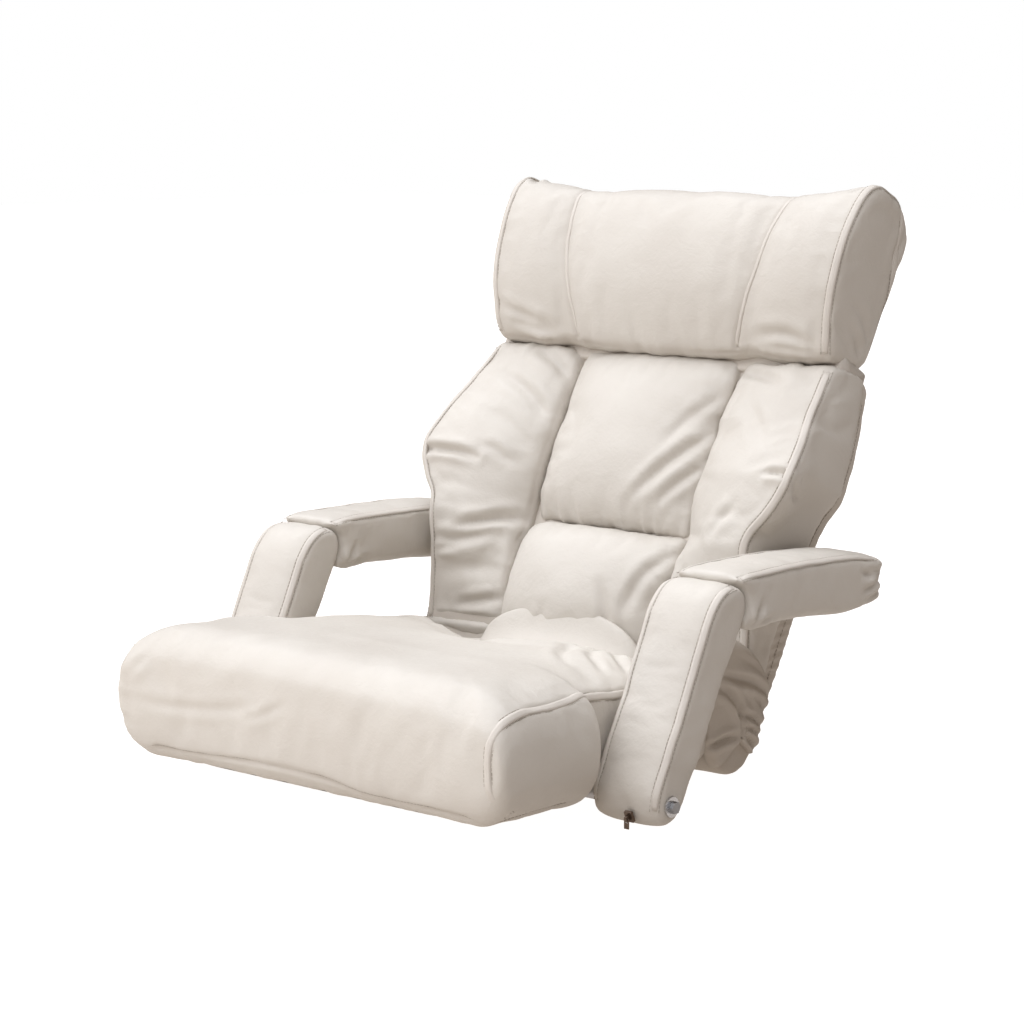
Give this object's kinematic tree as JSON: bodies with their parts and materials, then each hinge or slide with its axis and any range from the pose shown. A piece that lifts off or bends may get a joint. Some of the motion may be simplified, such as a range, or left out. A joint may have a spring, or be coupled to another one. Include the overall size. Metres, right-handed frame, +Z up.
{
  "type": "reclining floor chair",
  "caption": "Low legless floor chair with a ratchet-reclining back, a tilting head cushion and padded armrests that fold with the back in a parallelogram linkage.",
  "frame": {"origin": "on the floor, on the middle plane, below the middle of the seat", "axes": "+Z up; the sitter looks along -Y; +X is the sitter's left"},
  "size_m": [0.697, 0.7004, 0.6292],
  "materials": {
    "leather": "matte satin, coated",
    "leather_under": "matte satin, coated",
    "lining": "non-woven cloth",
    "frame_steel": "satin black paint",
    "spring_steel": "bare wire",
    "zinc": "zinc plated",
    "dark_metal": "dark bronze",
    "webbing": "woven elastic"
  },
  "bodies": {
    "seat": {"seat_frame": "frame_steel", "seat_webbing": "webbing", "seat_cushion": "leather", "seat_base_pad": "leather_under", "seat_base_panel": "lining", "recline_plates_left": "zinc", "recline_plates_right": "zinc", "recline_rivets_left": "zinc", "recline_rivets_right": "zinc", "recline_pawl_spring_left": "spring_steel", "recline_pawl_spring_right": "spring_steel", "arm_pivot_bolt_left": "dark_metal", "arm_pivot_bolt_right": "dark_metal", "arm_pivot_sleeves_left": "zinc", "arm_pivot_sleeves_right": "zinc", "arm_pivot_fixings_left": "dark_metal", "arm_pivot_fixings_right": "dark_metal"},
    "recline_pawl_left": {"recline_pawl_left": "zinc"},
    "recline_pawl_right": {"recline_pawl_right": "zinc"},
    "back": {"back_frame": "frame_steel", "back_webbing": "webbing", "recline_sector_left": "zinc", "recline_sector_right": "zinc", "back_rear_cover": "leather_under", "upper_pad": "leather", "lumbar_pad": "leather", "side_bolster_left": "leather", "side_bolster_right": "leather", "head_plates_left": "zinc", "head_plates_right": "zinc", "head_rivets_left": "zinc", "head_rivets_right": "zinc", "arm_rear_pin_left": "zinc", "arm_rear_pin_right": "zinc"},
    "head_pawl_left": {"head_pawl_left": "zinc"},
    "head_pawl_right": {"head_pawl_right": "zinc"},
    "head": {"head_frame": "frame_steel", "head_sector_left": "zinc", "head_sector_right": "zinc", "head_pillow": "leather"},
    "arm_post_left": {"post_frame_left": "frame_steel", "post_pad_left": "leather", "elbow_pin_left": "zinc", "zip_slider_left": "dark_metal"},
    "arm_post_right": {"post_frame_right": "frame_steel", "post_pad_right": "leather", "elbow_pin_right": "zinc", "zip_slider_right": "dark_metal"},
    "forearm_left": {"forearm_frame_left": "frame_steel", "forearm_pad_left": "leather"},
    "forearm_right": {"forearm_frame_right": "frame_steel", "forearm_pad_right": "leather"},
    "zip_pull_left": {"zip_pull_left": "dark_metal"},
    "zip_pull_right": {"zip_pull_right": "dark_metal"}
  },
  "joints": [
    {"name": "recline", "type": "hinge", "parent": "seat", "child": "back", "pos_m": [0, 0.158, 0.046], "axis": [-1, 0, 0], "range_deg": [-9, 63]},
    {"name": "head_tilt", "type": "hinge", "parent": "back", "child": "head", "pos_m": [0, 0.33935, 0.42834], "axis": [-1, 0, 0], "range_deg": [-13, 26]},
    {"name": "arm_post_swing_left", "type": "hinge", "parent": "seat", "child": "arm_post_left", "pos_m": [-0.2965, -0.073, 0.028], "axis": [-1, 0, 0], "range_deg": [-9, 63]},
    {"name": "forearm_fold_left", "type": "hinge", "parent": "arm_post_left", "child": "forearm_left", "pos_m": [-0.2965, 0.02325, 0.21689], "axis": [-1, 0, 0], "range_deg": [-63, 9]},
    {"name": "recline_pawl_turn_left", "type": "hinge", "parent": "seat", "child": "recline_pawl_left", "pos_m": [-0.205, 0.12402, 0.04719], "axis": [-1, 0, 0], "range_deg": [0, 9]},
    {"name": "head_pawl_turn_left", "type": "hinge", "parent": "back", "child": "head_pawl_left", "pos_m": [-0.205, 0.33352, 0.40661], "axis": [-1, 0, 0], "range_deg": [0, 9]},
    {"name": "zip_pull_swing_left", "type": "hinge", "parent": "arm_post_left", "child": "zip_pull_left", "pos_m": [-0.307, -0.1011, 0.0149], "axis": [-1, 0, 0], "range_deg": [-25, 25]},
    {"name": "arm_post_swing_right", "type": "hinge", "parent": "seat", "child": "arm_post_right", "pos_m": [0.2965, -0.073, 0.028], "axis": [-1, 0, 0], "range_deg": [-9, 63]},
    {"name": "forearm_fold_right", "type": "hinge", "parent": "arm_post_right", "child": "forearm_right", "pos_m": [0.2965, 0.02325, 0.21689], "axis": [-1, 0, 0], "range_deg": [-63, 9]},
    {"name": "recline_pawl_turn_right", "type": "hinge", "parent": "seat", "child": "recline_pawl_right", "pos_m": [0.205, 0.12402, 0.04719], "axis": [-1, 0, 0], "range_deg": [0, 9]},
    {"name": "head_pawl_turn_right", "type": "hinge", "parent": "back", "child": "head_pawl_right", "pos_m": [0.205, 0.33352, 0.40661], "axis": [-1, 0, 0], "range_deg": [0, 9]},
    {"name": "zip_pull_swing_right", "type": "hinge", "parent": "arm_post_right", "child": "zip_pull_right", "pos_m": [0.307, -0.1011, 0.0149], "axis": [-1, 0, 0], "range_deg": [-25, 25]}
  ],
  "couplings": [
    {"joint": "arm_post_swing_left", "follows": "recline", "ratio": 1},
    {"joint": "forearm_fold_left", "follows": "recline", "ratio": -1},
    {"joint": "arm_post_swing_right", "follows": "recline", "ratio": 1},
    {"joint": "forearm_fold_right", "follows": "recline", "ratio": -1}
  ]
}
